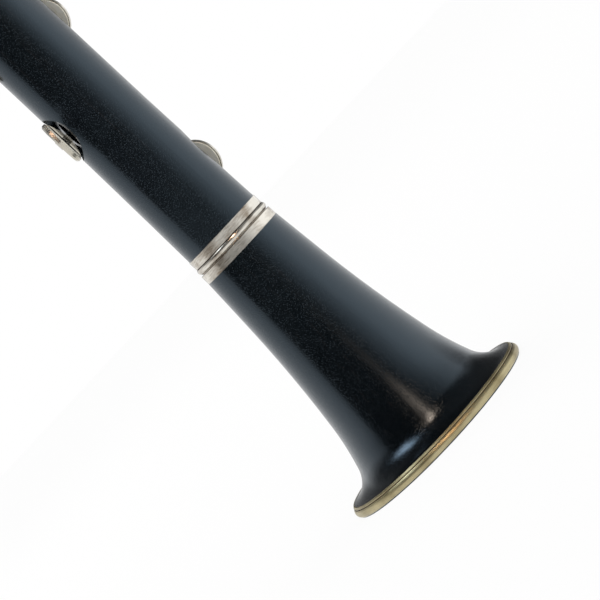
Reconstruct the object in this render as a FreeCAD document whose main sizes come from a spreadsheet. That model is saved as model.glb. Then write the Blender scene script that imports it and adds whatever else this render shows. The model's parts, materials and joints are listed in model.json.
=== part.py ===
"""Soprano clarinet in B flat, Boehm system, standing on its bell.

The origin is the centre of the bell mouth and the bore runs up +Z. The finger holes face -Y,
the thumb hole faces +Y, and the player's left is +X. An angle round the bore is counted in
degrees from the front, positive towards the player's left.
"""
import FreeCAD, Part
import Sketcher
import math
import os
import re
from types import SimpleNamespace
from FreeCAD import Placement, Rotation, Vector

SIZES = [
    # the wooden bell
    ("bell_length", 97.5),
    ("bell_top_radius", 15.2),
    ("bell_waist_radius", 18.1),
    ("bell_waist_height", 70.0),
    ("bell_throat_radius", 23.1),
    ("bell_throat_height", 29.7),
    ("bell_flare_radius", 37.7),
    ("bell_wall", 4.6),
    ("rim_ring_height", 4.2),
    ("rim_ring_wall", 1.6),
    ("rim_foot", 0.4),
    ("rim_lip", 1.0),
    ("end_ring_height", 3.3),
    ("end_ring_wall", 1.1),
    ("bead_height", 2.5),
    # the lower joint
    ("lower_length", 232.0),
    ("lower_foot_radius", 15.6),
    ("lower_neck_radius", 14.8),
    ("lower_neck_height", 150.0),
    ("lower_top_radius", 14.3),
    ("socket_radius", 16.9),
    ("socket_bulge", 26.0),
    # the upper joint, the barrel and the mouthpiece
    ("upper_length", 190.0),
    ("upper_foot_radius", 14.0),
    ("upper_top_radius", 13.4),
    ("barrel_length", 66.0),
    ("barrel_waist_radius", 14.9),
    ("barrel_end_radius", 16.0),
    ("mouthpiece_length", 73.5),
    ("mouthpiece_radius", 13.4),
    ("mouthpiece_neck_radius", 11.6),
    ("beak_height", 34.0),
    ("tip_thickness", 1.4),
    ("table_distance", 9.0),
    ("tuning_travel", 2.0),
    # the bore and the tenons
    ("bore_radius", 7.4),
    ("bore_flare_radius", 10.8),
    ("bore_flare_height", 180.0),
    ("foot_tenon_radius", 12.7),
    ("foot_tenon_length", 17.5),
    ("middle_tenon_radius", 11.0),
    ("middle_tenon_length", 20.0),
    ("top_tenon_radius", 11.0),
    ("top_tenon_length", 16.5),
    ("cork_wall", 1.0),
    ("cork_margin", 3.0),
    ("socket_fit", 0.05),
    ("socket_depth_gap", 0.5),
    # the key work
    ("rod_lift", 4.8),
    ("tube_radius", 2.0),
    ("pivot_radius", 0.7),
    ("pivot_depth", 2.0),
    ("pivot_fit", 0.05),
    ("post_head_radius", 2.5),
    ("post_head_length", 3.2),
    ("post_stem_radius", 1.2),
    ("post_collar_radius", 1.8),
    ("post_collar_height", 0.7),
    ("post_gap", 0.2),
    ("arm_thickness", 1.4),
    ("arm_width", 3.4),
    ("cup_floor", 0.6),
    ("cup_wall", 0.5),
    ("pad_thickness", 1.6),
    ("pad_proud", 0.5),
    ("pad_gap", 0.1),
    ("seat_margin", 1.0),
    ("touch_thickness", 1.5),
    ("touch_lift", 9.4),
    ("sliver_lift", 5.0),
    ("ring_inner_radius", 6.7),
    ("ring_outer_radius", 8.9),
    ("ring_thickness", 1.5),
    ("chimney_radius", 6.0),
    ("chimney_lift", 2.3),
    ("finger_hole_radius", 3.9),
    ("saddle_ear", 1.1),
    ("saddle_height", 4.0),
    ("saddle_sink", 0.8),
    ("lever_tube_length", 2.8),
    ("lever_tube_radius", 1.6),
    ("lever_arm_width", 2.2),
    ("lever_axis_lift", 3.4),
    ("mouth_land", 2.2),
    ("bell_curl_radius", 27.3),
    ("bell_curl_height", 12.8),
    ("bell_lip_radius", 31.0),
    ("bell_lip_height", 6.9),
    ("bell_shoulder_radius", 16.5),
    ("bead_gap", 0.4),
    ("bead_root", 0.25),
    ("end_ring_seat", 0.7),
    ("foot_ring_proud", 0.25),
    ("tenon_play", 0.15),
    ("upper_bead_radius", 15.6),
    ("upper_bead_height", 4.0),
    ("shank_height", 9.0),
    ("shank_step", 0.4),
    ("tip_half_width", 6.4),
    ("lay_distance", 7.9),
    ("lay_length", 18.0),
    ("table_foot", 3.5),
    ("window_half_width", 5.6),
    ("reed_thickness", 3.0),
    ("reed_half_width", 6.5),
    ("vamp_length", 33.0),
    ("ligature_height", 10.0),
    ("ligature_width", 21.0),
    ("ligature_wall", 0.7),
    ("ligature_play", 0.15),
    ("lug_gap", 1.2),
    ("lug_wall", 2.4),
    ("lug_depth", 5.0),
    ("lug_height", 5.0),
    ("screw_radius", 1.1),
    ("screw_head_radius", 3.0),
    ("screw_head_length", 5.0),
]

ORIGIN = Vector(0, 0, 0)
UP = Vector(0, 0, 1)

doc = FreeCAD.newDocument("clarinet")
sheet = doc.addObject("Spreadsheet::Sheet", "dims")
for row, (alias, number) in enumerate(SIZES, start=1):
    sheet.set(f"A{row}", alias.replace("_", " "))
    sheet.set(f"B{row}", str(number))
    sheet.setAlias(f"B{row}", alias)
doc.recompute()
d = SimpleNamespace(**{alias: sheet.get(alias) for alias, _ in SIZES})

lower_foot = d.bell_length
lower_top = lower_foot + d.lower_length
upper_top = lower_top + d.upper_length
barrel_top = upper_top + d.barrel_length
tip = barrel_top + d.mouthpiece_length
LOWER_FOOT = "bell_length"
LOWER_TOP = "(bell_length + lower_length)"
UPPER_TOP = "(bell_length + lower_length + upper_length)"
BARREL_TOP = "(bell_length + lower_length + upper_length + barrel_length)"

parts = []


def keep(item, label):
    """Name a finished sub-part, so that it is checked and written."""
    item.Label = label
    parts.append(item)
    return item


def bound(text):
    """The same expression with each size read from the sheet."""
    return re.sub(r"[a-z][a-z_]+", r"dims.\g<0>", text)


def value(text):
    return float(sheet.evalExpression(str(text)))


def outline_sketch(body, name, role, outline):
    """Closed outline of (across, along) or (across, along, via_across, via_along) corners.

    The second form reaches its corner on an arc through the via point. Every corner is bound to
    the sheet, and the arc between two corners is left free to follow them.
    """
    sketch = body.newObject("Sketcher::SketchObject", name)
    plane = [item for item in body.Origin.OriginFeatures if item.Role == role][0]
    sketch.AttachmentSupport = (plane, [""])
    sketch.MapMode = "FlatFace"
    corners = [Vector(value(corner[0]), value(corner[1]), 0) for corner in outline]
    for index, corner in enumerate(outline):
        start, end = corners[index - 1], corners[index]
        if len(corner) == 4:
            via = Vector(value(corner[2]), value(corner[3]), 0)
            edge = Part.Arc(start, via, end)
        else:
            edge = Part.LineSegment(start, end)
        sketch.addGeometry(edge, False)
    for index, corner in enumerate(outline):
        ends = [sketch.getPoint(index, 1), sketch.getPoint(index, 2)]
        last = 2 if ends[1].distanceToPoint(corners[index]) < 1e-6 else 1
        following = (index + 1) % len(outline)
        first = 1 if sketch.getPoint(following, 1).distanceToPoint(corners[index]) < 1e-6 else 2
        sketch.addConstraint(Sketcher.Constraint("Coincident", index, last, following, first))
        for kind, text in (("DistanceX", corner[0]), ("DistanceY", corner[1])):
            rule = sketch.addConstraint(Sketcher.Constraint(kind, -1, 1, index, last, value(text)))
            sketch.setExpression(f"Constraints[{rule}]", bound(text))
    return sketch


def turned(name, outline):
    """A body turned about the bore: its outline holds (radius, height) corners."""
    body = doc.addObject("PartDesign::Body", name)
    sketch = outline_sketch(body, name + "_outline", "XZ_Plane", outline)
    turning = body.newObject("PartDesign::Revolution", name + "_turning")
    turning.Profile = sketch
    turning.ReferenceAxis = (sketch, ["V_Axis"])
    turning.Angle = 360
    sketch.Visibility = False
    return body


def at(radius, angle, height=0.0):
    turn = math.radians(angle)
    return Vector(radius * math.sin(turn), -radius * math.cos(turn), height)


def outward(angle):
    return at(1, angle)


def across(angle):
    """Direction round the bore, towards the player's left at the front."""
    turn = math.radians(angle)
    return Vector(math.cos(turn), math.sin(turn), 0)


def radial_cylinder(name, radius, start, end, angle, height):
    """A round hole, seat or chimney square to the bore; all but the angle are expressions."""
    item = doc.addObject("Part::Cylinder", name)
    item.Placement = Placement(ORIGIN, Rotation(UP, outward(angle)))
    item.setExpression("Radius", bound(radius))
    item.setExpression("Height", bound(f"({end}) - ({start})"))
    item.setExpression("Placement.Base.x", bound(f"({start}) * {math.sin(math.radians(angle)):.6f}"))
    item.setExpression("Placement.Base.y", bound(f"({start}) * {-math.cos(math.radians(angle)):.6f}"))
    item.setExpression("Placement.Base.z", bound(height))
    return item


def boolean(kind, name, shapes):
    item = doc.addObject("Part::" + kind, name)
    if kind == "Cut":
        item.Base, item.Tool = shapes
    else:
        item.Shapes = shapes
    return item


def feature(name, shape, placement=None):
    item = doc.addObject("Part::Feature", name)
    item.Shape = shape
    if placement:
        item.Placement = placement
    return item


def tenon(radius, shoulder, length, turn):
    """Corners of a tenon with a groove for its cork, from the shoulder to its end.

    turn is "-" for a tenon that points down and "+" for one that points up.
    """
    land = f"{radius} - tenon_play"
    groove = f"{radius} - cork_wall"
    return [
        (land, shoulder),
        (land, f"{shoulder} {turn} cork_margin"),
        (groove, f"{shoulder} {turn} cork_margin"),
        (groove, f"{shoulder} {turn} {length} {'+' if turn == '-' else '-'} cork_margin"),
        (land, f"{shoulder} {turn} {length} {'+' if turn == '-' else '-'} cork_margin"),
        (land, f"{shoulder} {turn} {length}"),
    ]


def cork(radius, shoulder, length, turn):
    """The cork sleeve in a tenon's groove, a running fit in its socket."""
    sign = 1 if turn == "+" else -1
    outer, inner = value(radius), value(radius) - d.cork_wall
    low = value(shoulder) + sign * d.cork_margin
    high = value(shoulder) + sign * (value(length) - d.cork_margin)
    low, high = min(low, high), max(low, high)
    sleeve = Part.makeCylinder(outer, high - low, Vector(0, 0, low))
    return sleeve.cut(Part.makeCylinder(inner, high - low, Vector(0, 0, low)))


# The bell: a socket for the lower joint, a long cone and a flare that ends under the rim ring.
keep(turned("bell_wood", [
    ("bell_flare_radius - mouth_land", "0", "bell_curl_radius - bell_wall + 1.2", "bell_curl_height - 1"),
    ("bell_flare_radius + rim_ring_wall - 0.7", "0"),
    ("bell_flare_radius + rim_ring_wall - 0.7", "rim_foot"),
    ("bell_flare_radius", "rim_foot"),
    ("bell_flare_radius", "rim_ring_height"),
    ("bell_curl_radius", "bell_curl_height", "bell_lip_radius", "bell_lip_height"),
    ("bell_throat_radius", "bell_throat_height", "bell_curl_radius - 2.45", "bell_curl_height + 8.3"),
    ("bell_waist_radius", "bell_waist_height", "bell_waist_radius + 2.1", "bell_waist_height - 20.6"),
    ("bell_shoulder_radius", "bell_length - end_ring_height - bead_height - bead_gap"),
    ("bell_top_radius", "bell_length - end_ring_height - bead_height - bead_gap"),
    ("bell_top_radius", "bell_length"),
    ("foot_tenon_radius + socket_fit", "bell_length"),
    ("foot_tenon_radius + socket_fit", "bell_length - foot_tenon_length - socket_depth_gap"),
    ("bore_flare_radius", "bell_length - foot_tenon_length - socket_depth_gap"),
    ("bell_throat_radius - bell_wall", "bell_throat_height",
     "bell_waist_radius - bell_wall - 0.3", "bell_waist_height - 8"),
]), "bell")

# The half-round rim ring, with a groove and a narrow lip where it meets the wood.
keep(turned("rim_ring", [
    ("bell_flare_radius", "rim_foot"),
    ("bell_flare_radius + rim_ring_wall - 0.4", "rim_foot"),
    ("bell_flare_radius + rim_ring_wall - 0.5", "rim_ring_height - rim_lip",
     "bell_flare_radius + rim_ring_wall + 0.2", "(rim_ring_height - rim_lip + rim_foot) / 2"),
    ("bell_flare_radius + rim_ring_wall - 0.8", "rim_ring_height - rim_lip + 0.15"),
    ("bell_flare_radius + rim_ring_wall - 0.7", "rim_ring_height - rim_lip / 2"),
    ("bell_flare_radius + 0.4", "rim_ring_height"),
    ("bell_flare_radius", "rim_ring_height"),
]), "bell_rim_ring")

# The socket ring of the bell: a plain band, a groove and a bead.
keep(turned("socket_ring", [
    ("bell_top_radius", "bell_length - end_ring_height - bead_height - bead_gap"),
    ("bell_shoulder_radius", "bell_length - end_ring_height - bead_height - bead_gap"),
    ("bell_shoulder_radius - 0.1", "bell_length - bead_height - bead_gap"),
    ("bell_top_radius + bead_root", "bell_length - bead_height - bead_gap"),
    ("bell_top_radius + bead_root", "bell_length - bead_height"),
    ("bell_top_radius + bead_root", "bell_length",
     "bell_top_radius + end_ring_wall", "bell_length - bead_height / 2"),
    ("bell_top_radius", "bell_length"),
]), "bell_socket_ring")

lower_wood = turned("lower_wood", [
    *tenon("foot_tenon_radius", LOWER_FOOT, "foot_tenon_length", "-"),
    ("bore_flare_radius", "bell_length - foot_tenon_length"),
    ("bore_radius", "bore_flare_height"),
    ("bore_radius", f"{LOWER_TOP} - middle_tenon_length - socket_depth_gap"),
    ("middle_tenon_radius + socket_fit", f"{LOWER_TOP} - middle_tenon_length - socket_depth_gap"),
    ("middle_tenon_radius + socket_fit", LOWER_TOP),
    ("socket_radius - end_ring_wall", LOWER_TOP),
    ("socket_radius - end_ring_wall", f"{LOWER_TOP} - end_ring_height"),
    ("socket_radius", f"{LOWER_TOP} - end_ring_height"),
    ("socket_radius - 0.3", f"{LOWER_TOP} - socket_bulge + 8"),
    ("lower_top_radius", f"{LOWER_TOP} - socket_bulge",
     "lower_top_radius + 0.9", f"{LOWER_TOP} - socket_bulge + 4.6"),
    ("lower_neck_radius", "lower_neck_height"),
    ("lower_foot_radius", "bell_length + end_ring_height",
     "lower_neck_radius + 0.3", "lower_neck_height - 22"),
    ("lower_foot_radius - end_ring_seat", "bell_length + end_ring_height"),
    ("lower_foot_radius - end_ring_seat", "bell_length"),
])

upper_wood = turned("upper_wood", [
    *tenon("middle_tenon_radius", LOWER_TOP, "middle_tenon_length", "-"),
    ("bore_radius", f"{LOWER_TOP} - middle_tenon_length"),
    ("bore_radius", f"{UPPER_TOP} + top_tenon_length"),
    *reversed(tenon("top_tenon_radius", UPPER_TOP, "top_tenon_length", "+")),
    ("upper_top_radius", UPPER_TOP),
    ("upper_foot_radius", f"{LOWER_TOP} + upper_bead_height"),
    ("upper_bead_radius", f"{LOWER_TOP} + upper_bead_height - 1"),
    ("upper_bead_radius", LOWER_TOP),
])

keep(turned("barrel_wood", [
    ("top_tenon_radius + socket_fit", UPPER_TOP),
    ("barrel_end_radius", UPPER_TOP),
    ("barrel_end_radius", f"{UPPER_TOP} + end_ring_height"),
    ("barrel_end_radius + 0.6", f"{UPPER_TOP} + end_ring_height"),
    ("barrel_end_radius + 0.6", f"{BARREL_TOP} - end_ring_height",
     "barrel_waist_radius", f"{UPPER_TOP} + barrel_length / 2"),
    ("barrel_end_radius", f"{BARREL_TOP} - end_ring_height"),
    ("barrel_end_radius", BARREL_TOP),
    ("top_tenon_radius + socket_fit", BARREL_TOP),
    ("top_tenon_radius + socket_fit", f"{BARREL_TOP} - top_tenon_length - socket_depth_gap"),
    ("bore_radius", f"{BARREL_TOP} - top_tenon_length - socket_depth_gap"),
    ("bore_radius", f"{UPPER_TOP} + top_tenon_length + socket_depth_gap"),
    ("top_tenon_radius + socket_fit", f"{UPPER_TOP} + top_tenon_length + socket_depth_gap"),
]), "barrel")


def band(inner, outer, low, high):
    """A plain metal ring round the bore."""
    ring = Part.makeCylinder(outer, high - low, Vector(0, 0, low))
    return ring.cut(Part.makeCylinder(inner, high - low, Vector(0, 0, low)))


foot_ring = band(d.lower_foot_radius - d.end_ring_seat, d.lower_foot_radius + d.foot_ring_proud,
                 lower_foot, lower_foot + d.end_ring_height)
top_ring = band(d.socket_radius - d.end_ring_wall, d.socket_radius + d.foot_ring_proud,
                lower_top - d.end_ring_height, lower_top)
keep(feature("joint_rings_pair", Part.makeCompound([foot_ring, top_ring])), "lower_joint_rings")
barrel_ring_radius = d.barrel_end_radius + d.end_ring_wall
barrel_rings = [band(d.barrel_end_radius, barrel_ring_radius, low, low + d.end_ring_height)
                for low in (upper_top, barrel_top - d.end_ring_height)]
keep(feature("barrel_rings_pair", Part.makeCompound(barrel_rings)), "barrel_rings")
corks = [
    cork("foot_tenon_radius", LOWER_FOOT, "foot_tenon_length", "-"),
    cork("middle_tenon_radius", LOWER_TOP, "middle_tenon_length", "-"),
    cork("top_tenon_radius", UPPER_TOP, "top_tenon_length", "+"),
]
keep(feature("cork_sleeves", Part.makeCompound(corks)), "tenon_corks")
keep(feature("mouthpiece_cork_sleeve",
             cork("top_tenon_radius", BARREL_TOP, "top_tenon_length", "-")),
     "mouthpiece_cork")


def prism(outline, side, start, end):
    """A straight solid: the outline's (across, height) points in the plane square to side."""
    points = [Vector(0, y, z) for y, z in outline]
    face = Part.Face(Part.makePolygon(points + points[:1]))
    face.translate(side * start)
    return face.extrude(side * (end - start))


SIDEWAYS = Vector(1, 0, 0)

# The mouthpiece: a turned shank, a sloping beak, a flat table for the reed and an open window.
mouthpiece_blank = turned("mouthpiece_blank", [
    *tenon("top_tenon_radius", BARREL_TOP, "top_tenon_length", "-"),
    ("bore_radius", f"{BARREL_TOP} - top_tenon_length"),
    ("bore_radius - 0.4", f"{BARREL_TOP} + mouthpiece_length - beak_height"),
    ("0", f"{BARREL_TOP} + mouthpiece_length - beak_height + 4"),
    ("0", f"{BARREL_TOP} + mouthpiece_length"),
    ("tip_half_width", f"{BARREL_TOP} + mouthpiece_length"),
    ("mouthpiece_neck_radius", f"{BARREL_TOP} + mouthpiece_length - beak_height",
     "(tip_half_width + mouthpiece_neck_radius) / 2 + 1",
     f"{BARREL_TOP} + mouthpiece_length - beak_height / 2.6"),
    ("mouthpiece_radius - shank_step", f"{BARREL_TOP} + shank_height"),
    ("mouthpiece_radius", f"{BARREL_TOP} + shank_height - 1"),
    ("mouthpiece_radius", BARREL_TOP),
])
reach = d.mouthpiece_radius + 1
beak_foot = tip - d.beak_height
beak_cut = prism([(-reach, beak_foot), (-d.mouthpiece_neck_radius, beak_foot),
                  (d.lay_distance - d.tip_thickness, tip), (d.lay_distance - d.tip_thickness, tip + 1),
                  (-reach, tip + 1)], SIDEWAYS, -reach, reach)
table_cut = prism([(d.table_distance, barrel_top + d.table_foot), (reach, barrel_top + d.table_foot),
                   (reach, tip + 1), (d.lay_distance, tip + 1), (d.lay_distance, tip),
                   (d.table_distance, tip - d.lay_length)], SIDEWAYS, -reach, reach)
window_cut = prism([(d.bore_radius * -0.4, beak_foot - 6), (d.table_distance + 1, beak_foot - 1),
                    (d.table_distance + 1, tip - 1.6), (d.lay_distance - 1, tip - 1.6),
                    (d.bore_radius * -0.4, beak_foot + 4)],
                   SIDEWAYS, -d.window_half_width, d.window_half_width)
cuts = feature("mouthpiece_cuts", beak_cut.fuse([table_cut, window_cut]))
keep(boolean("Cut", "mouthpiece_shape", (mouthpiece_blank, cuts)), "mouthpiece")

# The reed: a flat back, a round bark side and a vamp shaved to a thin tip.
reed_low = barrel_top + d.table_foot + 1.5
reed_tip = tip - 0.6
vamp_foot = reed_tip - d.vamp_length
reed_side = prism([(d.table_distance, reed_low), (d.table_distance + d.reed_thickness, reed_low),
                   (d.table_distance + d.reed_thickness, vamp_foot),
                   (d.table_distance + 0.9, reed_tip - 12), (d.table_distance + 0.25, reed_tip),
                   (d.table_distance, reed_tip)], SIDEWAYS, -d.reed_half_width, d.reed_half_width)
reed_round = Part.makeCylinder(d.table_distance + d.reed_thickness, d.mouthpiece_length,
                               Vector(0, 0, barrel_top))
keep(feature("reed_blank", reed_side.common(reed_round)), "reed")

# The ligature: one sprung band, split behind the reed between two lugs for each screw.
band_low = barrel_top + d.ligature_height
band_high = band_low + d.ligature_width


def blank_radius(height):
    """Radius of the mouthpiece between its shank and its beak."""
    foot = barrel_top + d.shank_height
    share = (height - foot) / (beak_foot - foot)
    head = d.mouthpiece_radius - d.shank_step
    return head + share * (d.mouthpiece_neck_radius - head)


band_radii = [blank_radius(height) + d.ligature_play for height in (band_low, band_high)]
strap = Part.makeCone(*[radius + d.ligature_wall for radius in band_radii], d.ligature_width,
                      Vector(0, 0, band_low))
strap = strap.cut(Part.makeCone(*band_radii, d.ligature_width, Vector(0, 0, band_low)))
slot = Part.makeBox(2 * d.lug_gap, reach + 4, d.ligature_width, Vector(-d.lug_gap, 0, band_low))
screw_heights = [band_low + d.ligature_width * share for share in (0.26, 0.74)]
lug_back = band_radii[0] + d.lug_depth
ligature = strap.cut(slot)
for height in screw_heights:
    lug_front = blank_radius(height)
    for low in (-d.lug_gap - d.lug_wall, d.lug_gap):
        lug = Part.makeBox(d.lug_wall, lug_back - lug_front, d.lug_height,
                           Vector(low, lug_front, height - d.lug_height / 2))
        ligature = ligature.fuse(lug)
screw_across = lug_back - d.lug_depth / 2 + 0.3
lug_end = d.lug_gap + d.lug_wall
for height in screw_heights:
    hole = Part.makeCylinder(d.screw_radius + d.pivot_fit, 2 * lug_end + 2,
                             Vector(-lug_end - 1, screw_across, height), SIDEWAYS)
    ligature = ligature.cut(hole)
keep(feature("ligature_band", ligature), "ligature")
for height, place in zip(screw_heights, ("lower", "upper")):
    shank = Part.makeCylinder(d.screw_radius, 2 * lug_end + 1.5,
                              Vector(-lug_end - 1.2, screw_across, height), SIDEWAYS)
    head = Part.makeCylinder(d.screw_head_radius, d.screw_head_length,
                             Vector(lug_end + 0.3, screw_across, height), SIDEWAYS)
    keep(feature(f"{place}_screw", shank.fuse(head)), f"ligature_screw_{place}")


def skin(height):
    """Radius of the wood at a height on either joint."""
    if height > lower_top:
        share = (height - lower_top) / d.upper_length
        return d.upper_foot_radius + share * (d.upper_top_radius - d.upper_foot_radius)
    stations = [(lower_foot, d.lower_foot_radius), (d.lower_neck_height, d.lower_neck_radius),
                (lower_top - d.socket_bulge, d.lower_top_radius)]
    (low, foot), (high, head) = stations[:2] if height < d.lower_neck_height else stations[1:]
    return foot + (height - low) / (high - low) * (head - foot)


def rod_radius(height):
    """Distance of a hinge line from the bore axis; one value for each joint."""
    foot = d.upper_foot_radius if height > lower_top else d.lower_neck_radius
    return foot + d.rod_lift


def drum(radius, start, end, centre, direction):
    """A cylinder about a direction through a centre, between two distances along it."""
    return Part.makeCylinder(radius, end - start, centre + direction * start, direction)


def strut(start, end, side, start_width, end_width, thickness):
    """A flat tapered bar between two points; side is the direction of its width."""
    along = (end - start).normalize()
    side = (side - along * side.dot(along)).normalize()
    normal = along.cross(side)
    corners = [start - side * (start_width / 2), end - side * (end_width / 2),
               end + side * (end_width / 2), start + side * (start_width / 2)]
    face = Part.Face(Part.makePolygon(corners + corners[:1]))
    face.translate(normal * (-thickness / 2))
    return face.extrude(normal * thickness)


def arch(height, width, *stations):
    """A bent arm square to the bore through three (radius, angle) stations."""
    edges = []
    for offset in (d.arm_thickness / 2, -d.arm_thickness / 2):
        start, via, end = [at(radius + offset, angle, height - width / 2)
                           for radius, angle in stations]
        edges.append(Part.Arc(start, via, end).toShape())
    outer, inner = edges
    ends = [Part.makeLine(outer.Vertexes[i].Point, inner.Vertexes[i].Point) for i in (0, 1)]
    face = Part.Face(Part.Wire(Part.sortEdges([outer, inner, *ends])[0]))
    return face.extrude(UP * width)


def plate(radius, angle, height, width, length):
    """A rounded finger plate, square to a radius."""
    thick = d.touch_thickness
    blank = Part.makeBox(width, length, thick, Vector(-width / 2, -length / 2, 0))
    corner = min(width, length) * 0.36
    upright = [edge for edge in blank.Edges if abs(edge.tangentAt(0).z) > 0.9]
    blank = blank.makeFillet(corner, upright)
    turn = Rotation(across(angle), UP, outward(angle), "XZY")
    blank.Placement = Placement(at(radius, angle, height), turn)
    return blank


class Key:
    """One key: built with its pad on the seat, then laid at rest.

    lift is the turn in degrees that raises the pad from its seat; its sign says which side of the
    pivot the pad is on. A key that stands open rests at that turn, a closed one at zero.
    """

    def __init__(self, name, pivot, axis, lift, stands_open):
        self.name, self.pivot, self.axis = name, pivot, axis
        self.lift, self.stands_open = lift, stands_open
        self.shapes, self.holes = [], []

    def rest(self):
        turn = self.lift if self.stands_open else 0
        return Placement(ORIGIN, Rotation(self.axis, turn), self.pivot)

    def cup(self, height, angle, radius, seat):
        """A dished cup over a tone hole, with its pad as a piece of its own."""
        centre, out = Vector(0, 0, height), outward(angle)
        face = seat + d.pad_gap
        rim, floor = face + d.pad_proud, face + d.pad_thickness
        top = floor + d.cup_floor
        shell = drum(radius, rim, floor, centre, out)
        lid = Part.makeCone(radius, radius - d.cup_floor, d.cup_floor, centre + out * floor, out)
        self.shapes.append(shell.fuse(lid))
        pad_radius = radius - d.cup_wall
        self.holes.append(drum(pad_radius, face, floor, centre, out))
        pad = feature(f"{self.name}_felt", drum(pad_radius, face, floor, centre, out), self.rest())
        keep(pad, f"{self.name}_pad")
        return top - d.arm_thickness / 2 + 0.3

    def ring(self, height, angle, radius):
        """A finger ring round a raised tone hole, flush with it when pressed."""
        centre, out = Vector(0, 0, height), outward(angle)
        outer = drum(d.ring_outer_radius, radius - d.ring_thickness, radius, centre, out)
        self.shapes.append(outer)
        self.holes.append(drum(d.ring_inner_radius, radius - 3, radius + 3, centre, out))

    def finish(self):
        whole = self.shapes[0].fuse(self.shapes[1:])
        if self.holes:
            whole = whole.cut(self.holes)
        whole = whole.removeSplitter()
        if whole.ShapeType == "Compound" and len(whole.Solids) == 1:
            whole = whole.Solids[0]
        keep(feature(self.name + "_metal", whole, self.rest()), self.name)
        low, high = sorted((0, self.lift))
        if self.stands_open:
            low, high = low - self.lift, high - self.lift
        hinges.append((self.name, self.pivot, self.axis, low, high))


hinges, posts, pins, saddles, saddle_pins = [], [], [], [], []
post_places = set()


def post(angle, height):
    """A ball-headed post, screwed into the wood, that carries a pivot."""
    if (angle, height) in post_places:
        return
    post_places.add((angle, height))
    radius = rod_radius(height)
    foot, centre, out = skin(height), Vector(0, 0, height), outward(angle)
    collar = drum(d.post_collar_radius, foot, foot + d.post_collar_height, centre, out)
    stem = Part.makeCone(d.post_collar_radius - 0.3, d.post_stem_radius, radius - foot,
                         centre + out * foot, out)
    half = d.post_head_length / 2
    ball = Part.makeSphere(d.post_head_radius, at(radius, angle, height))
    faces = drum(d.post_head_radius, -half, half, at(radius, angle, height), UP)
    posts.append(ball.common(faces).fuse([collar, stem]))


class RodKey(Key):
    """A key on a long tube along the joint, between a post at each end."""

    def __init__(self, name, angle, low_post, high_post, lift, stands_open=False):
        self.angle = angle
        self.radius = rod_radius(low_post)
        super().__init__(name, at(self.radius, angle, low_post), UP, lift, stands_open)
        inset = d.post_head_length / 2 + d.post_gap
        self.low, self.high = low_post + inset, high_post - inset
        line = at(self.radius, angle)
        self.shapes.append(drum(d.tube_radius, self.low, self.high, line, UP))
        for end, way in ((self.low, 1), (self.high, -1)):
            mouth = at(self.radius, angle, end)
            self.holes.append(drum(d.pivot_radius + d.pivot_fit, 0, d.pivot_depth, mouth, UP * way))
            pins.append(drum(d.pivot_radius, -d.post_gap, d.pivot_depth - d.pivot_fit, mouth, UP * way))
        post(angle, low_post)
        post(angle, high_post)

    def cup_arm(self, height, angle, radius, seat, via):
        top = self.cup(height, angle, radius, seat)
        self.shapes.append(arch(height, d.arm_width, (self.radius + 0.4, self.angle), via, (top, angle)))

    def ring_arm(self, height, angle, radius):
        self.ring(height, angle, radius)
        reach = math.degrees(math.asin(d.ring_outer_radius / radius)) - 4
        end = angle - reach if self.angle < angle else angle + reach
        level = radius - d.ring_thickness / 2
        start = (self.radius, self.angle)
        end_level = level / math.cos(math.radians(end - angle))
        middle = ((self.radius + end_level) / 2 + 0.2, (self.angle + end) / 2)
        self.shapes.append(arch(height, d.arm_width, start, middle, (end_level, end)))

    def touch(self, height, angle, width, length, level, arm_height=None):
        """A finger plate on an arm that rises from the tube."""
        arm_height = height if arm_height is None else arm_height
        self.shapes.append(plate(level - d.touch_thickness, angle, height, width, length))
        centre = level - d.touch_thickness / 2
        start = at(self.radius, self.angle, arm_height)
        self.shapes.append(strut(start, at(centre, angle, arm_height), UP, d.arm_width, d.arm_width,
                                 d.arm_thickness))


class LeverKey(Key):
    """A see-saw key along the joint, on a short tube between the ears of a saddle."""

    def __init__(self, name, angle, height, lift, tube_length=d.lever_tube_length):
        self.angle = angle
        pivot = at(skin(height) + d.lever_axis_lift, angle, height)
        super().__init__(name, pivot, across(angle), lift, False)
        half = tube_length / 2
        self.shapes.append(drum(d.lever_tube_radius, -half, half, pivot, across(angle)))
        ear_end = half + d.post_gap + d.saddle_ear
        self.holes.append(drum(d.pivot_radius + d.pivot_fit, -ear_end, ear_end, pivot, across(angle)))
        depth = d.lever_axis_lift + d.saddle_sink
        wood = Part.makeCylinder(skin(height), 2 * d.saddle_height,
                                 Vector(0, 0, height - d.saddle_height))
        bore = drum(d.pivot_radius + d.pivot_fit, -2 * ear_end, 2 * ear_end, pivot, across(angle))
        for way in (1, -1):
            side = across(angle) * way
            inner = pivot + side * (half + d.post_gap)
            ear = drum(d.saddle_height / 2, 0, d.saddle_ear, inner, side)
            base = Part.makeBox(d.saddle_height, d.saddle_ear, depth,
                                Vector(-d.saddle_height / 2, -d.saddle_ear / 2, 0))
            turn = Rotation(UP, side, outward(angle), "XZY")
            base.Placement = Placement(inner + side * (d.saddle_ear / 2) - outward(angle) * depth, turn)
            saddles.append(ear.fuse(base).cut([wood, bore]))
        saddle_pins.append(drum(d.pivot_radius, -ear_end, ear_end, pivot, across(angle)))

    def cup_arm(self, height, angle, radius, seat):
        top = self.cup(height, angle, radius, seat)
        self.shapes.append(strut(self.pivot, at(top, angle, height), across(self.angle),
                                 d.lever_arm_width, d.lever_arm_width, d.arm_thickness))

    def touch(self, height, angle, width, length, level):
        self.shapes.append(plate(level - d.touch_thickness, angle, height, width, length))
        end = at(level - d.touch_thickness / 2, angle, height)
        self.shapes.append(strut(self.pivot, end, across(self.angle), d.lever_arm_width,
                                 d.lever_arm_width, d.arm_thickness))


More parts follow.
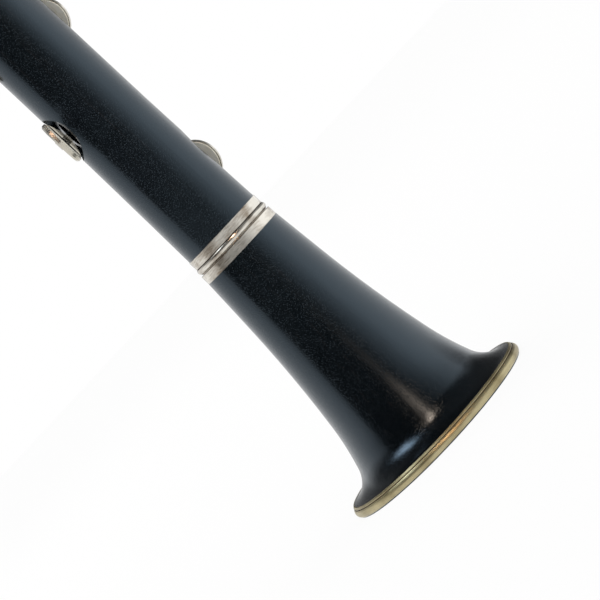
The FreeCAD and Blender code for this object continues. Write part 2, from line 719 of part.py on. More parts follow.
# Tone holes under pads: name, angle, height above the joint's foot, cup radius and seat depth
# below the skin. The first three have the deep, wide seats that show from the back.
PAD_HOLES = {
    "low_e": (-42, LOWER_FOOT, 24.0, 8.9, 2.9),
    "low_f": (98, LOWER_FOOT, 62.0, 8.5, 3.1),
    "low_f_sharp": (-42, LOWER_FOOT, 94.0, 8.5, 2.3),
    "a_flat": (-74, LOWER_FOOT, 148.5, 5.8, 1.6),
    "right_hand": (0, LOWER_FOOT, 197.5, 4.6, 0.9),
    "b_sliver": (-86, LOWER_FOOT, 186.5, 4.2, 0.9),
    "c_sharp": (18, LOWER_TOP, 13.5, 4.8, 0.9),
    "e_flat_sliver": (-86, LOWER_TOP, 20.5, 4.2, 0.9),
    "middle_ring": (0, LOWER_TOP, 66.5, 4.4, 0.9),
    "first_ring": (0, LOWER_TOP, 98.5, 4.4, 0.9),
    "thumb_ring": (166, LOWER_TOP, 75.5, 4.2, 0.9),
    "throat_g_sharp": (38, LOWER_TOP, 126.5, 4.2, 0.9),
    "throat_a": (2, LOWER_TOP, 140.5, 4.4, 0.9),
    "side_1": (-62, LOWER_TOP, 116.5, 4.2, 0.9),
    "side_2": (-102, LOWER_TOP, 154.5, 4.2, 0.9),
    "side_3": (-80, LOWER_TOP, 134.5, 4.2, 0.9),
    "side_4": (-132, LOWER_TOP, 116.5, 4.2, 0.9),
    "register": (180, LOWER_TOP, 173.5, 4.0, 0.9),
}
# Finger holes: angle and height above the joint's foot; a raised one stands inside a ring.
FINGER_HOLES = {
    "right_third": (0, LOWER_FOOT, 143.0, True),
    "right_second": (0, LOWER_FOOT, 163.0, True),
    "right_first": (0, LOWER_FOOT, 182.5, True),
    "left_third": (0, LOWER_TOP, 28.5, False),
    "left_second": (0, LOWER_TOP, 52.5, True),
    "left_first": (0, LOWER_TOP, 82.0, True),
    "left_thumb": (180, LOWER_TOP, 93.5, True),
}


def hole_height(name):
    angle, foot, rise, *_ = {**PAD_HOLES, **FINGER_HOLES}[name]
    return value(foot) + rise


def seat(name):
    return skin(hole_height(name)) - PAD_HOLES[name][4]


def chimney_top(name):
    return skin(hole_height(name)) + d.chimney_lift


def drilled(label, blank, foot):
    """Raise the finger-hole chimneys of one joint and drill all its tone holes."""
    chimneys, tools = [], []
    for name, (angle, joint, rise, raised) in FINGER_HOLES.items():
        if joint != foot:
            continue
        height = f"{joint} + {rise}"
        if raised:
            top = f"{chimney_top(name):.4f}"
            chimneys.append(radial_cylinder(name + "_chimney", "chimney_radius", "bore_radius + 4",
                                            top, angle, height))
        tools.append(radial_cylinder(name + "_hole", "finger_hole_radius", "0", "socket_radius + 9",
                                     angle, height))
    for name, (angle, joint, rise, cup, depth) in PAD_HOLES.items():
        if joint != foot:
            continue
        height = f"{joint} + {rise}"
        tools.append(radial_cylinder(name + "_seat", f"{cup} + seat_margin", f"{seat(name):.4f}",
                                     "socket_radius + 9", angle, height))
        tools.append(radial_cylinder(name + "_hole", f"{cup} * 0.6", "0", "socket_radius + 9",
                                     angle, height))
    raised_wood = boolean("MultiFuse", label + "_with_chimneys", [blank, *chimneys])
    bores = boolean("MultiFuse", label + "_tone_holes", tools)
    return keep(boolean("Cut", label + "_drilled", (raised_wood, bores)), label)


drilled("lower_joint", lower_wood, LOWER_FOOT)
drilled("upper_joint", upper_wood, LOWER_TOP)

finger_level = d.lower_neck_radius + d.touch_lift
tube_top = rod_radius(lower_foot) + d.tube_radius
row_low, row_high = lower_foot + 110.5, lower_foot + 123.0
post_row = lower_foot + 130.5
inner_line, middle_line, outer_line = 8, 24, 40


def cup_of(key, name, *via):
    angle, _, _, radius, _ = PAD_HOLES[name]
    key.cup_arm(hole_height(name), angle, radius, seat(name), *via)


# Low E and B: the lowest cup, closed by the right or the left little finger.
key = RodKey("low_e_key", middle_line, lower_foot + 12.5, lower_foot + 115.9, 14, stands_open=True)
cup_of(key, "low_e", (18.4, -8))
key.shapes.append(plate(finger_level - d.touch_thickness, -20, row_low, 10, 11))
key.shapes.append(arch(row_low, d.arm_width, (key.radius, middle_line), (tube_top + 2.4, inner_line),
                       (finger_level - 0.7, -20)))
key.shapes.append(arch(lower_foot + 107, 3, (key.radius, middle_line), (tube_top + 2.6, 37),
                       (tube_top + 2.7, 53)))
key.finish()

# Low F sharp and C sharp.
key = RodKey("low_f_sharp_key", inner_line, lower_foot + 82, post_row, 13, stands_open=True)
cup_of(key, "low_f_sharp", (18.6, -16))
key.shapes.append(plate(finger_level - d.touch_thickness, -49, row_low - 2.2, 10, 15.4))
key.shapes.append(arch(row_low - 8.1, d.arm_width, (key.radius, inner_line), (tube_top + 2, -16),
                       (finger_level - 0.7, -47)))
key.shapes.append(arch(lower_foot + 98, 3, (key.radius, inner_line), (tube_top + 3.8, 26),
                       (tube_top + 3.7, 54.5)))
key.finish()

# Low F and C: the cup on the player's left, with its left-hand plate far up the same tube.
left_plate_height, left_plate_length = lower_top - 15.5, 40.0
left_arm_height = lower_top - 33.0
key = RodKey("low_f_key", outer_line, lower_foot + 49.5, lower_top - 29.5, -9, stands_open=True)
cup_of(key, "low_f", (15.9, 68))
key.shapes.append(strut(at(key.radius, outer_line, row_high - 1), at(key.radius, 32.5, row_high - 1),
                        UP, 3, 3, d.arm_thickness))
key.shapes.append(plate(finger_level - d.touch_thickness, 51, left_plate_height, 6.4, left_plate_length))
key.shapes.append(strut(at(key.radius, outer_line, left_arm_height),
                        at(finger_level - 0.7, 49, left_arm_height), UP, 3, 3, d.arm_thickness))
key.finish()

# The right little finger's lever for low F: it presses the tail of that key from below.
key = RodKey("low_f_lever", middle_line, lower_foot + 115.9, post_row, 9, stands_open=True)
key.shapes.append(plate(finger_level - d.touch_thickness, -20, row_high, 10, 11))
key.shapes.append(arch(row_high - 1, d.arm_width, (key.radius, middle_line), (tube_top + 2.6, inner_line),
                       (finger_level - 0.7, -20)))
key.shapes.append(strut(at(key.radius, middle_line, row_high - 1), at(17.2, 33.5, row_high - 1), UP,
                        3, 3, d.arm_thickness))
key.finish()

# The two left little finger levers lift the tails of low E and low F sharp.
for name, line, foot, arm_rise, tip_radius, tip_angle, lift in (
        ("left_e_lever", 64, 102.6, 107.0, tube_top - 0.1, 51.5, -24),
        ("left_f_sharp_lever", 88, 92.5, 98.0, tube_top + 1.3, 53.5, -15)):
    key = RodKey(name, line, lower_foot + foot, lower_top - 29.5, lift, stands_open=True)
    key.shapes.append(arch(lower_foot + arm_rise, 3, (key.radius, line),
                           ((key.radius + tip_radius) / 2 + 0.8, (line + tip_angle) / 2),
                           (tip_radius, tip_angle)))
    key.shapes.append(plate(finger_level - d.touch_thickness, line + 9, left_plate_height, 6.4,
                            left_plate_length))
    key.shapes.append(strut(at(key.radius, line, left_arm_height),
                            at(finger_level - 0.7, line + 8, left_arm_height), UP, 3, 3,
                            d.arm_thickness))
    key.finish()

# A flat and E flat: closed, with its plate beside the other right little finger plates.
key = LeverKey("a_flat_key", -62, lower_foot + 132.3, 8.5, tube_length=4.8)
cup_of(key, "a_flat")
key.touch(row_high, -46, 10, 11, finger_level)
key.finish()

# The right-hand rings: three rings and a cup on one tube, and the foot of the bridge.
ring_line = -42
bridge_angle = -27
key = RodKey("right_hand_ring_key", ring_line, lower_foot + 136.5, lower_top - 28.5, -7,
             stands_open=True)
for name in ("right_third", "right_second", "right_first"):
    key.ring_arm(hole_height(name), 0, chimney_top(name))
cup_of(key, "right_hand", (18.0, -22))
bridge_foot = at(20.8, bridge_angle, lower_top - 32)
key.shapes.append(arch(lower_top - 32.5, 3, (key.radius, ring_line), (20.6, -35), (20.8, bridge_angle)))
key.shapes.append(strut(bridge_foot - UP * 2, at(21.6, bridge_angle, lower_top - 3), across(bridge_angle),
                        3.4, 3, d.arm_thickness))
key.finish()

# The sliver keys: the same small see-saw on each joint, for a fingertip beside the holes.
for name, hole, low_post, high_post, touch_height in (
        ("b_sliver_key", "b_sliver", lower_foot + 158.5, lower_foot + 194.5, lower_foot + 173.0),
        ("e_flat_sliver_key", "e_flat_sliver", lower_top + 11.5, lower_top + 44.5, lower_top + 36.5)):
    key = RodKey(name, -64, low_post, high_post, 10)
    cup_of(key, hole, (key.radius - 0.9, -76))
    sliver_level = key.radius + d.sliver_lift
    key.shapes.append(plate(sliver_level - d.touch_thickness, -32, touch_height, 5, 8.6))
    key.shapes.append(arch(touch_height, 3, (key.radius, -64), (sliver_level - 0.2, -52),
                           (sliver_level - 0.7, -32)))
    key.finish()

# C sharp and G sharp: closed by its spring, opened by the left little finger.
key = RodKey("c_sharp_key", 46, lower_top + 7.5, lower_top + 42.5, 12)
cup_of(key, "c_sharp", (17.2, 32))
key.touch(lower_top + 24, 61, 7, 13, 22.6)
key.finish()

# The left-hand rings share a hinge line; the lower one carries the head of the bridge.
key = RodKey("middle_ring_key", ring_line, lower_top + 6.5, lower_top + 72.5, -7, stands_open=True)
key.ring_arm(hole_height("left_second"), 0, chimney_top("left_second"))
cup_of(key, "middle_ring", (17.2, -22))
key.shapes.append(arch(lower_top + 10.5, 3, (key.radius, ring_line), (19.4, -35), (19.4, bridge_angle)))
key.shapes.append(strut(at(19.4, bridge_angle, lower_top + 12.5), at(19.4, bridge_angle, lower_top - 9),
                        across(bridge_angle), 3.4, 3, d.arm_thickness))
key.finish()

key = RodKey("first_ring_key", ring_line, lower_top + 72.5, lower_top + 106.5, -7, stands_open=True)
key.ring_arm(hole_height("left_first"), 0, chimney_top("left_first"))
cup_of(key, "first_ring", (17.2, -22))
key.finish()

# The thumb ring on the back, with its own small cup below it.
key = RodKey("thumb_ring_key", 138, lower_top + 69, lower_top + 104, -7, stands_open=True)
key.ring_arm(hole_height("left_thumb"), 180, chimney_top("left_thumb"))
cup_of(key, "thumb_ring", (17.0, 150))
key.finish()

# The see-saw keys of the upper joint: name, hole, pivot angle and rise, turn, then the plate's
# angle, rise, width, length and level.
for name, hole, angle, rise, lift, plate_angle, plate_rise, width, length, level in (
        ("register_key", "register", 180, 125.5, 3.5, 180, 112.5, 7.5, 13, 19.6),
        ("throat_a_key", "throat_a", 4, 124, 7, 4, 114.5, 7, 11, 19.8),
        ("throat_g_sharp_key", "throat_g_sharp", 36, 114.5, 9, 40, 103, 6, 13, 20.2),
        ("side_key_1", "side_1", -76, 95.5, 4.5, -78.5, 36.5, 5, 12, 21.6),
        ("side_key_2", "side_2", -107, 122.5, 3, -107, 36.5, 5, 12, 21.6),
        ("side_key_3", "side_3", -90, 110.5, 4.5, -91, 54.5, 4.4, 12, 21.6),
        ("side_key_4", "side_4", -123, 95.5, 4.5, -125, 54.5, 5, 12, 21.6)):
    key = LeverKey(name, angle, lower_top + rise, lift)
    cup_of(key, hole)
    key.touch(lower_top + plate_rise, plate_angle, width, length, level)
    key.finish()

keep(feature("all_posts", Part.makeCompound(posts)), "hinge_posts")
keep(feature("all_pivots", Part.makeCompound(pins)), "pivot_screws")
keep(feature("all_saddles", Part.makeCompound(saddles)), "key_saddles")
keep(feature("all_saddle_pins", Part.makeCompound(saddle_pins)), "saddle_pins")

# The thumb rest: a curved plate on the back of the lower joint with a hooked shelf.
rest_height = lower_top - 48
rest_skin = skin(rest_height - 9)
sweep = Part.makeCylinder(rest_skin + 1.3, 20, Vector(0, 0, rest_height - 9), UP, 46)
sweep = sweep.cut(Part.makeCylinder(rest_skin + 0.1, 20, Vector(0, 0, rest_height - 9)))
sweep.rotate(ORIGIN, UP, 90 - 23)
shelf = strut(at(rest_skin + 0.6, 180, rest_height + 7), at(rest_skin + 14, 180, rest_height + 3.5),
              across(180), 10, 13, 2.2)
lip = strut(at(rest_skin + 13.4, 180, rest_height + 3.4), at(rest_skin + 14.6, 180, rest_height - 1),
            across(180), 12, 10, 1.8)
keep(feature("thumb_hook", sweep.fuse([shelf, lip]).removeSplitter()), "thumb_rest")

doc.recompute()
for item in doc.Objects:
    if "Invalid" in item.State or "Error" in item.State:
        raise RuntimeError(f"{item.Name} failed: {item.State}")
for item in parts:
    if item.Shape.isNull() or not item.Shape.isValid():
        raise RuntimeError(f"{item.Label} has no valid shape")
os.makedirs("parts", exist_ok=True)
for item in parts:
    item.Shape.exportStep(f"parts/{item.Label}.step")
for name, pivot, axis, low, high in hinges:
    print(f"{name}: pivot {tuple(round(x, 2) for x in pivot)}, turns {low} to {high} degrees")
print(f"the headpiece slides up by {d.tuning_travel} mm to tune")
print(len(parts), "sub-parts")
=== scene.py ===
# %% [markdown]
# A soprano clarinet stands on its bell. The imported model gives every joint, ring, key and pad at its
# true size; this script gives them their surfaces, adds the small parts that only the eye needs, and
# sets the lights and the camera.
#
# The origin is the centre of the bell mouth. Z runs up the bore, -Y is the side with the finger holes
# and +X is the player's left.

# %% Load the frame
import json
import math

import bmesh
import bpy
from mathutils import Matrix, Vector


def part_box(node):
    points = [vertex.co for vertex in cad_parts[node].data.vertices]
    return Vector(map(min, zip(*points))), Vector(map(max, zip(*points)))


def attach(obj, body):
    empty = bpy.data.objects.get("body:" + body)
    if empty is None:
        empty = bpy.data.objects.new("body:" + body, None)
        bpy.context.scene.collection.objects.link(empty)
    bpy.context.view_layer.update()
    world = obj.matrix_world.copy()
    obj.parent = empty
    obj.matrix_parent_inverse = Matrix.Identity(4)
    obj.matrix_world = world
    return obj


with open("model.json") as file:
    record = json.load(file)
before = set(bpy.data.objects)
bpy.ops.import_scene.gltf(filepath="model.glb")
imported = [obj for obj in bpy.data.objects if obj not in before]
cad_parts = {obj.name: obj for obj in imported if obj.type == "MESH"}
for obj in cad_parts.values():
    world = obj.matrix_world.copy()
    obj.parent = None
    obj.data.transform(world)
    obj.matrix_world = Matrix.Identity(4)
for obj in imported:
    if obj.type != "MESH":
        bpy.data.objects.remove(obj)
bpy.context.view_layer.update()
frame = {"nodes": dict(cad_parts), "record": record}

nodes = frame["nodes"]
slot_of = {part["node"]: part["material_slot"] for part in frame["record"]["subparts"]}

# %% [markdown]
# The clarinet was photographed from behind, almost square to its bell, with a long lens. The image is
# turned so that the bore runs from the upper left to the lower right. The camera stands level with
# the foot of the lower joint, looks slightly down at the bell, and is rolled about its own axis.

# %% Camera
MM = 0.001
joint_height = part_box("lower_joint_rings")[0][2]
camera_distance = 0.860
camera_rise = 0.015
aim_drop = 0.0322
aim_side = -0.0006
focal_in_frames = 2560 / 600
roll = math.radians(46.9)

camera_place = Vector((aim_side, camera_distance, joint_height + camera_rise))
aim = Vector((aim_side, 0, joint_height - aim_drop))
looking = (aim - camera_place).normalized()
upright = Vector((-math.sin(roll), 0, math.cos(roll)))
right = looking.cross(upright).normalized()
upright = right.cross(looking)
camera = bpy.data.objects.new("camera", bpy.data.cameras.new("camera"))
bpy.context.scene.collection.objects.link(camera)
camera.data.sensor_width = 36
camera.data.lens = camera.data.sensor_width * focal_in_frames
camera.data.clip_start = 20 * MM
camera_axes = Matrix((right, upright, -looking)).transposed().to_4x4()
camera.matrix_world = Matrix.Translation(camera_place) @ camera_axes
bpy.context.scene.camera = camera
print("camera at", [round(x, 4) for x in camera_place], "lens", round(camera.data.lens, 1), "mm")

# %% [markdown]
# A finish is a Principled shader with a few masks. The helpers start a material, add a node with its
# values, join sockets, and do the sums and colour ramps, so that each finish below reads as a short
# list.

# %% Material helpers
def start_material(name):
    material = bpy.data.materials.new(name)
    material.use_nodes = True
    tree = material.node_tree
    return material, tree, tree.nodes["Principled BSDF"]


def add(tree, kind, **values):
    """A node with attributes by name, and inputs by their label in quotes."""
    node = tree.nodes.new(kind)
    for name, value in values.items():
        if hasattr(node, name):
            setattr(node, name, value)
        else:
            node.inputs[name.replace("_", " ")].default_value = value
    return node


def link(tree, *ends):
    """Join pairs of sockets: link(tree, out, into, out, into)."""
    for out, into in zip(ends[::2], ends[1::2]):
        tree.links.new(out, into)


def ramp(tree, factor, *stops):
    """A colour ramp over (place, colour) stops."""
    node = add(tree, "ShaderNodeValToRGB")
    band = node.color_ramp
    while len(band.elements) < len(stops):
        band.elements.new(0.5)
    for element, (place, colour) in zip(band.elements, stops):
        element.position = place
        element.color = (*colour, 1)
    link(tree, factor, node.inputs["Fac"])
    return node.outputs["Color"]


def grey_ramp(tree, factor, stops):
    """A ramp over (place, tone) stops."""
    return ramp(tree, factor, *[(place, (tone, tone, tone)) for place, tone in stops])


def calculate(tree, operation, *values, kind="ShaderNodeMath"):
    """The result of a sum over sockets and plain numbers."""
    node = add(tree, kind, operation=operation)
    for socket, value in zip(node.inputs, values):
        if isinstance(value, bpy.types.NodeSocket):
            link(tree, value, socket)
        else:
            socket.default_value = value
    return node.outputs[0]


def spread(tree, factor, low, high):
    """A factor of 0 to 1, spread over low to high."""
    node = add(tree, "ShaderNodeMapRange", To_Min=low, To_Max=high)
    link(tree, factor, node.inputs["Value"])
    return node.outputs["Result"]


# %% [markdown]
# Every finish changes a little over the surface. This group puts out a long grain that runs with the
# bore, short pores, and soft cloudy patches, all from Object coordinates. Its scales count per metre,
# so 1300 makes a pore of about three quarters of a millimetre.

# %% Grain group
def make_grain_group():
    group = bpy.data.node_groups.new("grain", "ShaderNodeTree")
    for name, value in (("Scale", 1.0), ("Stretch", 0.04)):
        socket = group.interface.new_socket(name, in_out="INPUT", socket_type="NodeSocketFloat")
        socket.default_value = value
    for name in ("Grain", "Pores", "Cloud"):
        group.interface.new_socket(name, in_out="OUTPUT", socket_type="NodeSocketFloat")
    tree = group
    vector = "ShaderNodeVectorMath"
    entry, leave = add(tree, "NodeGroupInput"), add(tree, "NodeGroupOutput")
    place = add(tree, "ShaderNodeTexCoord")
    sized = add(tree, vector, operation="SCALE")
    along = add(tree, "ShaderNodeCombineXYZ", X=1.0, Y=1.0)
    link(tree, place.outputs["Object"], sized.inputs[0], entry.outputs["Scale"], sized.inputs["Scale"],
         entry.outputs["Stretch"], along.inputs["Z"])
    drawn = calculate(tree, "MULTIPLY", sized.outputs[0], along.outputs[0], kind=vector)
    flecked = calculate(tree, "ADD", drawn, sized.outputs[0], kind=vector)
    grain = add(tree, "ShaderNodeTexNoise", Scale=900.0, Detail=5.0, Roughness=0.6, Distortion=0.3)
    pores = add(tree, "ShaderNodeTexVoronoi", Scale=1300.0)
    cloud = add(tree, "ShaderNodeTexNoise", Scale=180.0, Detail=3.0)
    pore_range = add(tree, "ShaderNodeMapRange", From_Min=0.08, From_Max=0.38, To_Min=1.0, To_Max=0.0)
    link(tree, drawn, grain.inputs["Vector"], flecked, pores.inputs["Vector"], sized.outputs[0],
         cloud.inputs["Vector"], pores.outputs["Distance"], pore_range.inputs["Value"],
         grain.outputs["Fac"], leave.inputs["Grain"], pore_range.outputs["Result"],
         leave.inputs["Pores"], cloud.outputs["Fac"], leave.inputs["Cloud"])
    return group


grain_group = make_grain_group()


def use_grain(tree, scale=1.0, stretch=0.04):
    node = add(tree, "ShaderNodeGroup")
    node.node_tree = grain_group
    node.inputs["Scale"].default_value = scale
    node.inputs["Stretch"].default_value = stretch
    return node


def bump(tree, shader, height, strength, depth):
    node = add(tree, "ShaderNodeBump", Strength=strength, Distance=depth)
    link(tree, height, node.inputs["Height"], node.outputs["Normal"], shader.inputs["Normal"])


print("grain group ready")

# %% [markdown]
# The joints and the bell are African blackwood: nearly black, brown where the grain is open, oiled
# rather than lacquered. Dark noise along the bore gives the figure and small pores break the gloss.
# The bluish tint is that of daylight in oiled wood.

# %% Blackwood
def make_blackwood():
    material, tree, shader = start_material("blackwood")
    grain = use_grain(tree)
    closed, even, open_grain = (0.0008, 0.0016, 0.0024), (0.0018, 0.0025, 0.0031), (0.014, 0.010, 0.009)
    pore_colour, pore_share = (0.028, 0.033, 0.037, 1), 0.3
    colour = ramp(tree, grain.outputs["Grain"], (0.35, closed), (0.60, even), (0.85, open_grain))
    speckled = add(tree, "ShaderNodeMixRGB", Color2=pore_colour)
    share = calculate(tree, "MULTIPLY", grain.outputs["Pores"], pore_share)
    polish = spread(tree, grain.outputs["Cloud"], 0.14, 0.22)
    link(tree, share, speckled.inputs["Fac"], colour, speckled.inputs["Color1"],
         speckled.outputs["Color"], shader.inputs["Base Color"], polish, shader.inputs["Roughness"])
    shader.inputs["Specular IOR Level"].default_value = 0.8
    shader.inputs["Specular Tint"].default_value = (0.62, 0.82, 1.0, 1)
    relief = calculate(tree, "SUBTRACT", grain.outputs["Grain"], grain.outputs["Pores"])
    bump(tree, shader, relief, 0.4, 0.06 * MM)
    return material


finishes = {"blackwood": make_blackwood()}
print("blackwood ready")

# %% [markdown]
# The metal is nickel silver. Polished plate on the keys, brushed and worn on the joint rings, and
# tarnished to an olive yellow on the bell rim, which takes the most handling.

# %% Metals
def paint_groove_shade(tree, colour, heights, half_width, shade_colour):
    """Paint shade onto the colour round given heights of the bore, where a turned groove or the edge of a
    ring lies in shade.
    """
    place = add(tree, "ShaderNodeTexCoord")
    split = add(tree, "ShaderNodeSeparateXYZ")
    link(tree, place.outputs["Object"], split.inputs[0])
    for height in heights:
        inside = calculate(tree, "COMPARE", split.outputs["Z"], height, half_width)
        mix = add(tree, "ShaderNodeMixRGB", Color2=(*shade_colour, 1))
        link(tree, inside, mix.inputs["Fac"], colour, mix.inputs["Color1"])
        colour = mix.outputs["Color"]
    return colour


def make_metal(name, bright, dull, roughness, scale, stretch, patches=(0.35, 0.7), shade_line_heights=()):
    """Metal that goes from dull to bright in patches, with painted shade lines at given heights."""
    # Half width and colour of the painted shade lines in the grooves.
    grain_share, shade_line_half_width, groove_shade_colour = 0.35, 0.14 * MM, (0.10, 0.07, 0.045)
    material, tree, shader = start_material(name)
    grain = use_grain(tree, scale, stretch)
    worn = calculate(tree, "MULTIPLY_ADD", grain.outputs["Grain"], grain_share, grain.outputs["Cloud"])
    colour = ramp(tree, worn, (patches[0], dull), (patches[1], bright))
    # Painted shade: dark lines at the given groove heights.
    colour = paint_groove_shade(tree, colour, shade_line_heights, shade_line_half_width, groove_shade_colour)
    rough = spread(tree, grain.outputs["Grain"], *roughness)
    link(tree, colour, shader.inputs["Base Color"], rough, shader.inputs["Roughness"])
    shader.inputs["Metallic"].default_value = 0.8
    bump(tree, shader, grain.outputs["Grain"], 0.06, 0.03 * MM)
    return material


bell_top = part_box("bell")[1][2]
# Heights of the painted shade lines: two near the top of the bell, one near the top of the rim ring.
ring_shade_lines = (bell_top - 2.7 * MM, bell_top - 0.12 * MM)
rim_shade_line = (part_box("bell_rim_ring")[1][2] - 0.85 * MM,)
finishes["key_nickel"] = make_metal(
    "key_nickel", (0.66, 0.63, 0.57), (0.50, 0.47, 0.39), (0.16, 0.30), 0.35, 0.6, (0.5, 0.8))
finishes["ring_nickel_silver"] = make_metal(
    "ring_nickel_silver", (0.76, 0.73, 0.66), (0.22, 0.17, 0.12), (0.12, 0.24), 0.4, 8.0, (0.52, 0.76),
    ring_shade_lines)
finishes["rim_nickel_silver"] = make_metal(
    "rim_nickel_silver", (0.50, 0.44, 0.26), (0.28, 0.23, 0.12), (0.32, 0.42), 0.4, 8.0, (0.5, 0.8),
    rim_shade_line)
finishes["spring_steel"] = make_metal(
    "spring_steel", (0.22, 0.25, 0.32), (0.08, 0.09, 0.13), (0.2, 0.35), 1.0, 0.3)
print(len(finishes), "finishes")

# %% [markdown]
# Cork, pad skin, cane and hard rubber are the soft and dull finishes. Each goes from a low to a high
# colour along its grain: cork in crumbs, cane in long fibres.

# %% Cork, skin, cane and rubber
def make_plain(name, low, high, roughness, scale, stretch, depth):
    material, tree, shader = start_material(name)
    grain = use_grain(tree, scale, stretch)
    colour = ramp(tree, grain.outputs["Grain"], (0.3, low), (0.7, high))
    rough = spread(tree, grain.outputs["Cloud"], *roughness)
    link(tree, colour, shader.inputs["Base Color"], rough, shader.inputs["Roughness"])
    bump(tree, shader, grain.outputs["Grain"], 0.3, depth)
    return material


for name, low, high, roughness, scale, stretch, depth in (
        ("cork", (0.36, 0.22, 0.11), (0.62, 0.44, 0.26), (0.7, 0.9), 0.9, 1.0, 0.2 * MM),
        ("pad_skin", (0.80, 0.76, 0.64), (0.90, 0.89, 0.82), (0.45, 0.7), 0.5, 1.0, 0.1 * MM),
        ("cane", (0.62, 0.47, 0.21), (0.80, 0.67, 0.38), (0.4, 0.55), 1.2, 0.03, 0.1 * MM),
        ("ebonite", (0.008, 0.008, 0.009), (0.014, 0.014, 0.015), (0.12, 0.24), 0.4, 1.0, 0.02 * MM)):
    finishes[name] = make_plain(name, low, high, roughness, scale, stretch, depth)

for name, node in nodes.items():
    node.data.materials.clear()
    node.data.materials.append(finishes[slot_of[name]])
print(len(nodes), "nodes finished")

# %% [markdown]
# The small steel and nickel parts that only the eye needs are built here: the needle springs, the
# slotted heads of the screws, the knurling of the ligature screws and the bush of the thumb hole. The
# helpers place a shape by its distance, angle and height on the bore, and finish a mesh on its body.

# %% Piece helpers
def on_bore(radius, degrees, height):
    """A point in metres from millimetres: degrees run from the front towards the player's left."""
    angle = math.radians(degrees)
    return Vector((radius * math.sin(angle), -radius * math.cos(angle), height)) * MM


def stand(place, facing):
    """A matrix that turns +Z into the facing direction and moves the origin to the place."""
    return Matrix.Translation(place) @ facing.to_track_quat("Z", "Y").to_matrix().to_4x4()


def close_piece(name, shape, material, body):
    """Turn a finished bmesh into an object that rides on a body."""
    bmesh.ops.recalc_face_normals(shape, faces=shape.faces)
    mesh = bpy.data.meshes.new(name)
    for face in shape.faces:
        face.smooth = True
    shape.to_mesh(mesh)
    shape.free()
    mesh.set_sharp_from_angle(angle=math.radians(35))
    mesh.materials.append(finishes[material])
    piece = bpy.data.objects.new(name, mesh)
    bpy.context.scene.collection.objects.link(piece)
    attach(piece, body)
    print(name, len(mesh.polygons), "faces on", body)
    return piece


# %% [markdown]
# Most keys are soldered to long tubes that lie along the bore between two posts. One row for each tube
# gives its angle, its distance from the bore's axis and the heights of its foot and head posts, with a
# third height where a post stands between them. These are the part's own hinge lines.

# %% Hinge lines
lower_tubes, upper_tubes = 19.6, 18.8
tubes = (
    (24, lower_tubes, 110.0, 228.0), (8, lower_tubes, 179.5, 228.0), (40, lower_tubes, 147.0, 300.0),
    (64, lower_tubes, 200.1, 300.0), (88, lower_tubes, 190.0, 300.0), (-42, lower_tubes, 234.0, 301.0),
    (-64, lower_tubes, 256.0, 292.0), (-64, upper_tubes, 341.0, 374.0), (46, upper_tubes, 337.0, 372.0),
    (-42, upper_tubes, 336.0, 436.0, 402.0), (138, upper_tubes, 398.5, 433.5))
foot, head, middle = 0, 1, 2
print(len(tubes), "tubes")

# %% [markdown]
# A needle spring is a blued steel pin driven through a post. It lies beside its tube and pushes on a
# small hook, which keeps the key open or shut. Each pin is a slender cone. The rows give the number of
# the tube, the post that holds the pin and the side of the tube it lies on.

# %% Needle springs
spring_rows = (
    (0, foot, 1), (1, head, 1), (2, head, -1), (3, head, -1), (4, head, -1), (5, foot, -1), (6, foot, -1),
    (7, foot, 1), (8, head, -1), (9, middle, -1), (9, head, -1), (10, foot, -1))
spring_length, spring_root, spring_tip = 13.5, 0.30, 0.18
spring_gap, lean_at_post = 2.45, 0.6
depth_at_post, depth_at_tip = 1.0, 0.3

springs = bmesh.new()
for row, end, side in spring_rows:
    degrees, radius, *posts = tubes[row]
    way = 1 if end == foot else -1
    lean = math.degrees(spring_gap / radius) * side
    start = on_bore(radius - depth_at_post, degrees + lean * lean_at_post, posts[end])
    tip = on_bore(radius - depth_at_tip, degrees + lean, posts[end] + way * spring_length)
    run = tip - start
    bmesh.ops.create_cone(springs, cap_ends=True, segments=12, radius1=spring_root * MM,
                          radius2=spring_tip * MM, depth=run.length,
                          matrix=stand((start + tip) / 2, run.normalized()))
close_piece("needle_springs", springs, "spring_steel", "root")

# %% [markdown]
# A slotted head is a low disc with a gap across it. A circle is cut by two planes, and the two halves
# are raised from a thin disc, so that the slot has a floor as a real one has. Each tube has a screw at
# both ends, and the slots stand at any angle, as they do after a repair.

# %% Slotted heads
def slotted_head(shape, radius, thickness, place, facing, spin):
    radius, thickness = radius * MM, thickness * MM
    slot_width = radius * 0.28
    turn = stand(place, facing) @ Matrix.Rotation(math.radians(spin), 4, "Z")
    bmesh.ops.create_cone(shape, cap_ends=True, segments=24, radius1=radius, radius2=radius,
                          depth=thickness * 0.5, matrix=turn @ Matrix.Translation((0, 0, thickness * 0.25)))
    for way in (1, -1):
        half = bmesh.new()
        bmesh.ops.create_circle(half, cap_ends=True, segments=24, radius=radius)
        bmesh.ops.bisect_plane(half, geom=half.verts[:] + half.edges[:] + half.faces[:],
                               plane_co=(way * slot_width / 2, 0, 0), plane_no=(-way, 0, 0), clear_outer=True)
        raised = bmesh.ops.extrude_face_region(half, geom=half.faces[:])["geom"]
        top = [item for item in raised if isinstance(item, bmesh.types.BMVert)]
        bmesh.ops.translate(half, vec=(0, 0, thickness), verts=top)
        bmesh.ops.scale(half, vec=(0.9, 0.9, 1), verts=top)
        bmesh.ops.transform(half, matrix=turn, verts=half.verts)
        copy = bpy.data.meshes.new("half")
        half.to_mesh(copy)
        half.free()
        shape.from_mesh(copy)
        bpy.data.meshes.remove(copy)


up = Vector((0, 0, 1))
post_half_length, head_sinks = 1.6, 0.05
pivot_head_radius, pivot_head_height = 1.25, 0.4
spin_step = 37
heads = bmesh.new()
for number, (degrees, radius, *posts) in enumerate(tubes):
    for end, way in ((foot, -1), (head, 1)):
        place = on_bore(radius, degrees, posts[end] + way * (post_half_length - head_sinks))
        slotted_head(heads, pivot_head_radius, pivot_head_height, place, up * way,
                     spin_step * (2 * number + end))
close_piece("pivot_screw_heads", heads, "spring_steel", "root")

